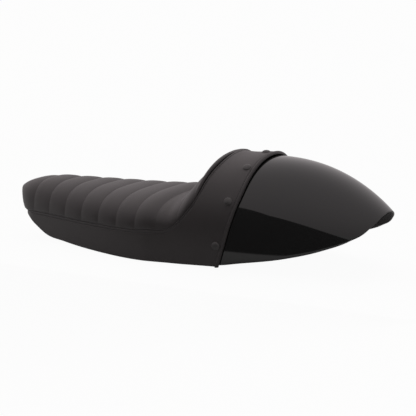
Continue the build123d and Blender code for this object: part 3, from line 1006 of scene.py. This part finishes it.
def pad_grid(stations, bulge):
    """Points round each section of the pad, and the share of its rise at each point of the top."""
    turn = loaf_turns()[None, :]
    x = np.repeat(stations[:, None], PAD_COLUMNS, 1)
    half, seam = pad_edge(np.maximum(x, 0.0))
    foot = pad_foot(x, seam)
    top = np.maximum(pad_top(x), foot + PAD_LEAST)
    power = 2 / (PAD_POWER + (HUMP_POWER - PAD_POWER) * eased(x, *CROOK_RANGE))
    up = np.clip(np.sin(turn), 0.0, 1.0) ** power
    side = np.sign(np.cos(turn)) * np.abs(np.cos(turn)) ** power
    height = foot + (top - foot) * up
    half = np.maximum(np.where(x < FIRST_CHANNEL, nose_half(x, height), half), PAD_LEAST)
    over = np.stack((x, -half * side, height), -1)
    normal = normals_of(over)
    normal *= np.sign(normal[:, PAD_COLUMNS // 2, 2] + TINY)[:, None, None]
    fade = np.clip(up / SIDE_FADE, 0.0, 1.0) ** SIDE_FADE_POWER * (SIDE_SWELL + (1 - SIDE_SWELL) * up)
    over = over + normal * (bulge[:, None] * fade)[..., None]
    return np.concatenate([over] + pad_underside(x[:, :1], half[:, :1], foot[:, :1]), 1), up


def puff(piece, sewing):
    """Blows the rolls up between the sewn lines, as the wadding under them does."""
    mesh = piece.data
    start = np.empty(len(mesh.vertices) * 3)
    mesh.vertices.foreach_get("co", start)
    held = np.empty(len(mesh.vertices))
    mesh.attributes["sewn"].data.foreach_get("value", held)
    group = piece.vertex_groups.new(name="sewn")
    group.add(np.flatnonzero(held > FULLY_SEWN).tolist(), 1.0, "REPLACE")
    cloth = piece.modifiers.new("puff", "CLOTH")
    rules = cloth.settings
    rules.quality = 5
    rules.mass = 0.3
    rules.tension_stiffness = 20.0
    rules.compression_stiffness = 20.0
    rules.shear_stiffness = 8.0
    rules.bending_stiffness = 0.4
    rules.use_pressure = True
    rules.uniform_pressure_force = sewing.puff_pressure
    rules.vertex_group_mass = "sewn"
    rules.effector_weights.gravity = 0.0
    cloth.collision_settings.use_collision = False
    cloth.point_cache.frame_start = 1
    cloth.point_cache.frame_end = PUFF_FRAMES
    for number in range(1, PUFF_FRAMES + 1):
        bpy.context.scene.frame_set(number)
    apply_modifiers(piece)
    bpy.context.scene.frame_set(1)
    end = np.empty_like(start)
    piece.data.vertices.foreach_get("co", end)
    move = (end - start).reshape(-1, 3)
    length = np.maximum(np.linalg.norm(move, axis=1, keepdims=True), TINY)
    move *= sewing.puff_limit * np.tanh(length / sewing.puff_limit) / length * (1 - held[:, None])
    piece.data.vertices.foreach_set("co", (start.reshape(-1, 3) + move).ravel())
    piece.data.update()
    piece.vertex_groups.clear()


def build_pad(sewing):
    """Pad with a roll between each pair of sewn channels, closed below along the pan."""
    stations, full, bulge, channel = roll_rows(sewing.roll_bulge * MM)
    grid, up = pad_grid(stations, bulge)
    rows, around = grid.shape[:2]
    sewn = np.zeros((rows, around))
    sewn[:, :PAD_COLUMNS] = 1 - eased(up, 0.0, FREE_RISE) * full[:, None]
    sewn[channel] = 1.0
    sewn[:, :SEWN_COLUMNS] = 1.0
    sewn[:, PAD_COLUMNS - SEWN_COLUMNS:] = 1.0
    piece = mesh_piece("rolled_pad", grid, tube_faces(rows, around), sewn.ravel())
    puff(piece, sewing)
    piece.data.attributes.remove(piece.data.attributes["sewn"])
    settle(piece, "vinyl", finish_of("vinyl"), "top_panel", "seat_foam")


# hem binding

# share of the hem's width, distance ahead of the rear edge and inset, round the folded edge
HEM_PROFILE = (
    (1.0, 0.0, 0.45),
    (1.0, -0.9, -0.1),
    (1.0, -2.0, -0.65),
    (0.6, 0.0, -1.0),
    (0.42, 0.0, -1.1),
    (0.25, 0.2, -0.75),
    (0.0, 1.0, -0.05),
    (0.0, 0.2, 0.85),
    (0.0, -0.4, 2.1),
    (0.0, -0.6, 3.3),
    (0.0, -0.35, 4.4),
    (0.0, 0.4, 5.1),
    (0.0, 1.6, 5.4),
    (0.0, 3.1, 5.3),
    (0.0, 3.5, 4.2),
    (0.0, 3.3, 2.4),
    (0.0, 3.4, 0.8),
    (0.0, 3.8, -0.05),
    (1.0, -1.3, -0.03),
    (1.0, -0.6, 0.2),
)


def build_hem():
    """Hem of the band, rolled over its rear edge down to the cowl."""
    x, arc = hem_line(-HEM_DROP).T
    near = [on_band(x - share * HEM_WIDTH - ahead, arc, inset) for share, ahead, inset in HEM_PROFILE]
    grid = both_halves(np.stack(near)).swapaxes(0, 1)
    piece = mesh_piece("hem_fold", grid, tube_faces(*grid.shape[:2]))
    settle(piece, "vinyl", finish_of("vinyl"), "hem_binding")


# press-stud caps

# share of the cap's radius and of its height, from the top of the dome to its underside
CAP_PROFILE = (
    (0.0, 1.0),
    (0.213, 0.985),
    (0.427, 0.9),
    (0.627, 0.74),
    (0.787, 0.52),
    (0.907, 0.28),
    (0.973, 0.14),
    (1.0, 0.06),
    (0.993, 0.02),
    (0.0, 0.02),
)


def surface_spot(x, z):
    """Point of a cap's foot and outward normal on the band's near side."""
    arc = float(arc_of(x, z, 0.0))
    along = on_layer(x + STEP, arc, 0.0) - on_layer(x - STEP, arc, 0.0)
    up = on_layer(x, arc + STEP, 0.0) - on_layer(x, arc - STEP, 0.0)
    return on_layer(x, arc, -CAP_LIFT), unit(np.cross(along, up))


def cap_places():
    """Centre and outward direction of each cap."""
    spots = []
    for z in SNAP_LEVELS:
        here = surface_spot(snap_at(z), z)
        spots += [here, tuple(mirrored(v) for v in here)]
    x = snap_at(CREST_Z)
    spots.append((np.array((x, 0.0, float(top_at(x)) + CAP_LIFT)), np.array((0.0, 0.0, 1.0))))
    return spots


def build_caps():
    """Domed caps, three on each side and one on the crest."""
    points = []
    faces = []
    for centre, normal in cap_places():
        across = unit(np.cross(normal, (1.0, 0.0, 0.0)))
        other = np.cross(normal, across)
        faces += grid_faces(len(CAP_PROFILE), CAP_SIDES, True, len(points))
        for radius, height in CAP_PROFILE:
            for turn in np.arange(CAP_SIDES) * 2 * math.pi / CAP_SIDES:
                ring = radius * SNAP_D / 2 * (math.cos(turn) * across + math.sin(turn) * other)
                points.append(centre + ring + height * CAP_H * normal)
    piece = mesh_piece("stud_caps", points, faces)
    settle(piece, "snap_black", finish_of("snap_black"), "snap_caps")


# stitching and staples

# share of a stitch's length, of its thickness and its rise in thicknesses
STITCH_PROFILE = (
    (0.0, 0.25, -0.35),
    (0.12, 0.7, 0.1),
    (0.3, 0.95, 0.4),
    (0.5, 1.0, 0.5),
    (0.7, 0.95, 0.4),
    (0.88, 0.7, 0.1),
    (1.0, 0.25, -0.35),
)


def stitch_run(line, normal, pitch, long, thick):
    """Points and faces of capsule-shaped stitches that lie along a line on a surface."""
    far = distances(line)
    count = int(far[-1] / pitch)
    points = []
    faces = []
    for k in range(count):
        begin = far[-1] * (k + 0.5) / count - long / 2
        faces += tube_faces(len(STITCH_PROFILE), STITCH_SIDES, len(points))
        for share, size, lift in STITCH_PROFILE:
            at = np.clip(begin + share * long, 0.0, far[-1])
            up = unit(at_distance(far, normal, at))
            ahead = at_distance(far, line, at + HALF_STEP) - at_distance(far, line, at - HALF_STEP)
            side = unit(np.cross(up, ahead))
            middle = at_distance(far, line, at) + up * lift * thick
            for turn in np.arange(STITCH_SIDES) * 2 * math.pi / STITCH_SIDES:
                points.append(middle + thick / 2 * size * (math.cos(turn) * side + math.sin(turn) * up))
    return points, faces


def both_sides(name, line, normal, pitch, long, thick):
    """One piece with the stitches of a run on the near side and of its mirror image."""
    points, faces = stitch_run(line, normal, pitch, long, thick)
    more, quads = stitch_run(mirrored(line), mirrored(normal), pitch, long, thick)
    faces += [tuple(len(points) + i for i in face) for face in quads]
    return mesh_piece(name, points + more, faces)


def surface_run(x, arc, inset):
    """Line on the cover and its outward normals."""
    line = on_band(x, arc, inset)
    outward = on_band(x, arc, inset - HALF_STEP) - line
    up = on_band(x, arc + STEP, inset) - on_band(x, arc - STEP, inset)
    normal = np.cross(np.gradient(line, axis=0), up)
    return line, unit(normal * np.sign((normal * outward).sum(-1, keepdims=True) + TINY))


def build_stitches(sewing):
    """Top stitches along the seam and along the front of the hem."""
    size = [length * MM for length in (sewing.stitch_pitch, sewing.stitch_length, sewing.thread_width)]
    seam, edge, _ = cover_lines()
    ahead, _, share = spans(seam, edge)
    seam_x, seam_arc = (seam + ahead * (SEAM_STITCH * share)[:, None])[NOSE_SKIP:].T
    hem_x, hem_arc = hem_line(HEM_START).T
    runs = {
        "seam_stitches": surface_run(seam_x, seam_arc, SEAM_SINK),
        "hem_stitches": surface_run(hem_x - HEM_STITCH, hem_arc, HEM_SINK),
    }
    for name, (line, normal) in runs.items():
        settle(both_sides(name, line, normal, *size), "vinyl", finish_of("thread"))


def build_staples(sewing):
    """Staples that hold the turned-in lower edge inside the pan's wall."""
    x = spread(*STAPLE_RUN, STAPLE_STEPS)
    line = on_layer(x, skirt_line(x) - SHOULDER_Z + STAPLE_UP, STAPLE_INSET)
    inward = np.tile((0.0, 1.0, 0.0), (len(x), 1))
    piece = both_sides("staples", line, inward, sewing.staple_pitch * MM, STAPLE_LONG, STAPLE_THICK)
    settle(piece, "steel", finish_of("steel"))


# carried-over solids


def dress_solids():
    """Finishes for the solids that keep their own shape."""
    slots = {row["node"]: row["material_slot"] for row in frame["record"]["subparts"]}
    for node, piece in frame["nodes"].items():
        if not piece.hide_render:
            piece.data.materials.clear()
            piece.data.materials.append(finish_of(slots[node]))


# stage


def aim(thing, target):
    """Points a camera or lamp at a target."""
    thing.rotation_euler = (Vector(target) - thing.location).to_track_quat("-Z", "Y").to_euler()


def build_camera():
    """Camera at the photograph's viewing angle."""
    azimuth = math.radians(VIEW_AZIMUTH)
    elevation = math.radians(VIEW_ELEVATION)
    level = math.cos(elevation)
    back = Vector((math.sin(azimuth) * level, -math.cos(azimuth) * level, math.sin(elevation)))
    target = Vector(to_frame(VIEW_TARGET))
    data = bpy.data.cameras.new("photo_view")
    data.sensor_width = SENSOR_MM
    data.lens = VIEW_FOCAL_PX / FRAME_PX * SENSOR_MM
    data.shift_y = (VIEW_CENTRE_V - FRAME_PX / 2) / FRAME_PX
    data.clip_end = VIEW_CLIP_M
    camera = bpy.data.objects.new("photo_view", data)
    bpy.context.scene.collection.objects.link(camera)
    camera.location = target + back * (VIEW_DISTANCE / MM)
    aim(camera, target)
    bpy.context.scene.camera = camera


def build_world(stage):
    """Even fill for the surfaces, white for the camera, and a sky that greys down for reflections."""
    world = bpy.data.worlds.new("studio")
    bpy.context.scene.world = world
    world.use_nodes = True
    nodes = world.node_tree.nodes
    links = world.node_tree.links
    background = nodes["Background"]
    path = nodes.new("ShaderNodeLightPath")
    tint = nodes.new("ShaderNodeMix")
    tint.data_type = "RGBA"
    tint.inputs["A"].default_value = WHITE
    tint.inputs["B"].default_value = SKY_TINT
    place = nodes.new("ShaderNodeTexCoord")
    height = nodes.new("ShaderNodeSeparateXYZ")
    sky = nodes.new("ShaderNodeMapRange")
    sky.inputs["To Min"].default_value = stage.sky_low
    sky.inputs["To Max"].default_value = 1.0
    mirror = nodes.new("ShaderNodeMix")
    mirror.inputs["A"].default_value = stage.fill_light
    clear = math_node(nodes, "MAXIMUM")
    level = nodes.new("ShaderNodeMix")
    level.inputs["B"].default_value = 1.0
    links.new(path.outputs["Is Glossy Ray"], tint.inputs["Factor"])
    links.new(tint.outputs["Result"], background.inputs["Color"])
    links.new(place.outputs["Generated"], height.inputs["Vector"])
    links.new(height.outputs["Z"], sky.inputs["Value"])
    links.new(path.outputs["Is Glossy Ray"], mirror.inputs["Factor"])
    links.new(sky.outputs["Result"], mirror.inputs["B"])
    links.new(path.outputs["Is Camera Ray"], clear.inputs[0])
    links.new(path.outputs["Is Transmission Ray"], clear.inputs[1])
    links.new(clear.outputs["Value"], level.inputs["Factor"])
    links.new(mirror.outputs["Result"], level.inputs["A"])
    links.new(level.outputs["Result"], background.inputs["Strength"])


def build_sun(stage):
    """Broad soft light from above, on the far side and towards the nose."""
    data = bpy.data.lights.new("overhead", "SUN")
    data.angle = stage.sun_spread
    data.energy = stage.sun_strength
    data.color = SUN_TINT
    lamp = bpy.data.objects.new("overhead", data)
    bpy.context.scene.collection.objects.link(lamp)
    lamp.location = SUN_FROM
    aim(lamp, (0.0, 0.0, 0.0))
    lamp.visible_glossy = False


def pale_material(name, stage):
    """Matte pale surface that the camera sees as clean white, with soft shadows."""
    material, shader = new_material(name)
    nodes = material.node_tree.nodes
    links = material.node_tree.links
    nodes.remove(shader)
    matte = nodes.new("ShaderNodeBsdfDiffuse")
    matte.inputs["Color"].default_value = (stage.floor_grey, stage.floor_grey, stage.floor_grey, 1.0)
    glow = nodes.new("ShaderNodeEmission")
    glow.inputs["Color"].default_value = WHITE
    path = nodes.new("ShaderNodeLightPath")
    seen = math_node(nodes, "MULTIPLY", None, stage.floor_glow)
    share = math_node(nodes, "MULTIPLY_ADD", None, stage.floor_gloss)
    blend = nodes.new("ShaderNodeMixShader")
    links.new(path.outputs["Is Camera Ray"], seen.inputs[0])
    links.new(path.outputs["Is Glossy Ray"], share.inputs[0])
    links.new(seen.outputs["Value"], share.inputs[2])
    links.new(share.outputs["Value"], blend.inputs["Fac"])
    links.new(matte.outputs["BSDF"], blend.inputs[1])
    links.new(glow.outputs["Emission"], blend.inputs[2])
    links.new(blend.outputs["Shader"], nodes["Material Output"].inputs["Surface"])
    return material


def flat_sheet(name, corners, material):
    """One flat face of the stage."""
    mesh = bpy.data.meshes.new(name)
    mesh.from_pydata(corners, [], [tuple(range(len(corners)))])
    mesh.materials.append(material)
    sheet = bpy.data.objects.new(name, mesh)
    bpy.context.scene.collection.objects.link(sheet)
    sheet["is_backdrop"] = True
    return sheet


def build_flag(stage, floor_z):
    """Dark board in front, leaning away, that the gloss cowl mirrors; the camera and the shadows miss it."""
    dark, shader = new_material("dark_flag")
    shader.inputs["Base Color"].default_value = (stage.flag_grey, stage.flag_grey, stage.flag_grey, 1.0)
    shader.inputs["Roughness"].default_value = 1.0
    foot = FLAG_PLAN[0][1]
    corners = [(x, y, floor_z + FLAG_LIFT + FLAG_RISE * (foot - y)) for x, y in FLAG_PLAN]
    flag = flat_sheet("dark_flag", corners, dark)
    flag.visible_camera = False
    flag.visible_shadow = False


def build_stage(stage):
    """Camera, light, floor and the dark board."""
    build_camera()
    build_world(stage)
    build_sun(stage)
    floor_z = float(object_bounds()[0][2]) - FLOOR_DROP
    signs = ((-1, -1), (1, -1), (1, 1), (-1, 1))
    corners = [(a * FLOOR_REACH, b * FLOOR_REACH, floor_z) for a, b in signs]
    flat_sheet("floor", corners, pale_material("pale_floor", stage))
    build_flag(stage, floor_z)


# sizes and colours that a user would change


class SeatLooks(bpy.types.PropertyGroup):
    """Colours and polish of the vinyl, the thread and the cowl"""

    vinyl_colour: bpy.props.FloatVectorProperty(
        name="Vinyl colour", description="Colour of the rolled pad and its skirt", subtype="COLOR",
        size=3, min=0.0, max=1.0, default=(0.036, 0.0315, 0.032),
    )
    vinyl_roughness: bpy.props.FloatProperty(
        name="Vinyl roughness", description="Satin of the vinyl", subtype="FACTOR",
        min=0.0, max=1.0, default=0.46,
    )
    vinyl_sheen: bpy.props.FloatProperty(
        name="Vinyl sheen", description="Strength of the vinyl's mirror-like share", subtype="FACTOR",
        min=0.0, max=1.0, default=0.33,
    )
    thread_colour: bpy.props.FloatVectorProperty(
        name="Thread colour", description="Colour of the sewing thread", subtype="COLOR",
        size=3, min=0.0, max=1.0, default=(0.022, 0.022, 0.022),
    )
    cowl_colour: bpy.props.FloatVectorProperty(
        name="Cowl colour", description="Colour of the gloss lacquer", subtype="COLOR",
        size=3, min=0.0, max=1.0, default=(0.004, 0.004, 0.004),
    )
    cowl_roughness: bpy.props.FloatProperty(
        name="Cowl roughness", description="Polish of the lacquer", subtype="FACTOR",
        min=0.0, max=1.0, default=0.05,
    )


class SeatSewing(bpy.types.PropertyGroup):
    """Fullness of the rolls, and sizes of the stitches and staples"""

    roll_bulge: bpy.props.FloatProperty(
        name="Roll bulge", description="Height of a roll above its channels before it puffs up",
        unit="LENGTH", min=0.0, max=0.015, default=0.0035,
    )
    puff_pressure: bpy.props.FloatProperty(
        name="Puff pressure", description="Push of the wadding inside the rolls",
        min=0.0, max=50.0, default=4.0,
    )
    puff_limit: bpy.props.FloatProperty(
        name="Puff limit", description="How far the vinyl may swell", unit="LENGTH",
        min=0.0, max=0.03, default=0.004,
    )
    stitch_pitch: bpy.props.FloatProperty(
        name="Stitch pitch", description="Distance from stitch to stitch", unit="LENGTH",
        min=0.002, max=0.01, default=0.0042,
    )
    stitch_length: bpy.props.FloatProperty(
        name="Stitch length", description="Length of one stitch", unit="LENGTH",
        min=0.001, max=0.01, default=0.0034,
    )
    thread_width: bpy.props.FloatProperty(
        name="Thread width", description="Thickness of the sewing thread", unit="LENGTH",
        min=0.0003, max=0.002, default=0.0008,
    )
    staple_pitch: bpy.props.FloatProperty(
        name="Staple pitch", description="Spacing of the staples under the edge", unit="LENGTH",
        min=0.012, max=0.06, default=0.023,
    )


class SeatStage(bpy.types.PropertyGroup):
    """Levels of the lights, the floor and the dark board"""

    fill_light: bpy.props.FloatProperty(
        name="Fill light", description="Strength of the even light all round",
        min=0.0, max=2.0, default=0.47,
    )
    sky_low: bpy.props.FloatProperty(
        name="Low sky", description="Brightness of the mirrored sky at the horizon", subtype="FACTOR",
        min=0.0, max=1.0, default=0.63,
    )
    sun_strength: bpy.props.FloatProperty(
        name="Overhead light", description="Strength of the soft light above",
        min=0.0, max=20.0, default=1.95,
    )
    sun_spread: bpy.props.FloatProperty(
        name="Light spread", description="How broad the soft light is", subtype="ANGLE",
        min=0.0, max=math.pi, default=math.radians(70.0),
    )
    floor_grey: bpy.props.FloatProperty(
        name="Floor", description="Brightness of the floor's own surface", subtype="FACTOR",
        min=0.0, max=1.0, default=0.55,
    )
    floor_glow: bpy.props.FloatProperty(
        name="Floor white", description="Share of plain white that the camera sees on the floor",
        subtype="FACTOR", min=0.0, max=1.0, default=0.955,
    )
    floor_gloss: bpy.props.FloatProperty(
        name="Mirrored white", description="Share of plain white that reflections see on the floor",
        subtype="FACTOR", min=0.0, max=1.0, default=0.15,
    )
    flag_grey: bpy.props.FloatProperty(
        name="Dark board", description="Brightness of the dark board", subtype="FACTOR",
        min=0.0, max=1.0, default=0.1,
    )


class SEAT_OT_cowl(bpy.types.Operator):
    """Build the gloss tail cowl over the frame's shell"""

    bl_idname = "seat.build_cowl"
    bl_label = "Tail cowl"

    def execute(self, context):
        build_cowl()
        return {"FINISHED"}


class SEAT_OT_cover(bpy.types.Operator):
    """Build the sewn skirt and hump band"""

    bl_idname = "seat.build_cover"
    bl_label = "Skirt and hump band"

    def execute(self, context):
        build_cover()
        return {"FINISHED"}


class SEAT_OT_pad(bpy.types.Operator):
    """Build the rolled pad"""

    bl_idname = "seat.build_pad"
    bl_label = "Rolled pad"

    def execute(self, context):
        build_pad(context.scene.seat_sewing)
        return {"FINISHED"}


class SEAT_OT_hem(bpy.types.Operator):
    """Build the hem along the band's rear edge"""

    bl_idname = "seat.build_hem"
    bl_label = "Hem"

    def execute(self, context):
        build_hem()
        return {"FINISHED"}


class SEAT_OT_stitches(bpy.types.Operator):
    """Build the stitches along the seam and the hem"""

    bl_idname = "seat.build_stitches"
    bl_label = "Stitches"

    def execute(self, context):
        build_stitches(context.scene.seat_sewing)
        return {"FINISHED"}


class SEAT_OT_staples(bpy.types.Operator):
    """Build the staples under the skirt's lower edge"""

    bl_idname = "seat.build_staples"
    bl_label = "Staples"

    def execute(self, context):
        build_staples(context.scene.seat_sewing)
        return {"FINISHED"}


class SEAT_OT_caps(bpy.types.Operator):
    """Build the press-stud caps"""

    bl_idname = "seat.build_caps"
    bl_label = "Press-stud caps"

    def execute(self, context):
        build_caps()
        return {"FINISHED"}


class SEAT_OT_solids(bpy.types.Operator):
    """Give the frame's own solids their finishes"""

    bl_idname = "seat.dress_solids"
    bl_label = "Solids"

    def execute(self, context):
        dress_solids()
        return {"FINISHED"}


class SEAT_OT_stage(bpy.types.Operator):
    """Set up the floor, the light and the camera"""

    bl_idname = "seat.build_stage"
    bl_label = "Stage"

    def execute(self, context):
        build_stage(context.scene.seat_stage)
        return {"FINISHED"}


class SEAT_PT_panel(bpy.types.Panel):
    """Lists the seat's pieces and their settings"""

    bl_label = "Seat"
    bl_idname = "SEAT_PT_panel"
    bl_space_type = "VIEW_3D"
    bl_region_type = "UI"
    bl_category = "Seat"

    def draw(self, context):
        for name, group in GROUPS.items():
            box = self.layout.box()
            for setting in group.__annotations__:
                box.prop(getattr(context.scene, name), setting)
        for operator in OPERATORS:
            self.layout.operator(operator.bl_idname)


GROUPS = {"seat_looks": SeatLooks, "seat_sewing": SeatSewing, "seat_stage": SeatStage}
OPERATORS = (
    SEAT_OT_cowl,
    SEAT_OT_cover,
    SEAT_OT_pad,
    SEAT_OT_hem,
    SEAT_OT_stitches,
    SEAT_OT_staples,
    SEAT_OT_caps,
    SEAT_OT_solids,
    SEAT_OT_stage,
)
CLASSES = (*GROUPS.values(), *OPERATORS, SEAT_PT_panel)


def register():
    """Registers the classes and gives the scene its settings."""
    for cls in CLASSES:
        bpy.utils.register_class(cls)
    for name, group in GROUPS.items():
        setattr(bpy.types.Scene, name, bpy.props.PointerProperty(type=group))


def unregister():
    """Takes the settings and the classes away again."""
    for name in GROUPS:
        delattr(bpy.types.Scene, name)
    for cls in reversed(CLASSES):
        bpy.utils.unregister_class(cls)


def main():
    """Builds the seat piece by piece, then the stage."""
    register()
    bpy.context.scene.view_settings.view_transform = "Standard"
    bpy.ops.seat.build_cowl()
    bpy.ops.seat.build_cover()
    bpy.ops.seat.build_pad()
    bpy.ops.seat.build_hem()
    bpy.ops.seat.build_stitches()
    bpy.ops.seat.build_staples()
    bpy.ops.seat.build_caps()
    bpy.ops.seat.dress_solids()
    bpy.ops.seat.build_stage()


if __name__ == "__main__":
    main()
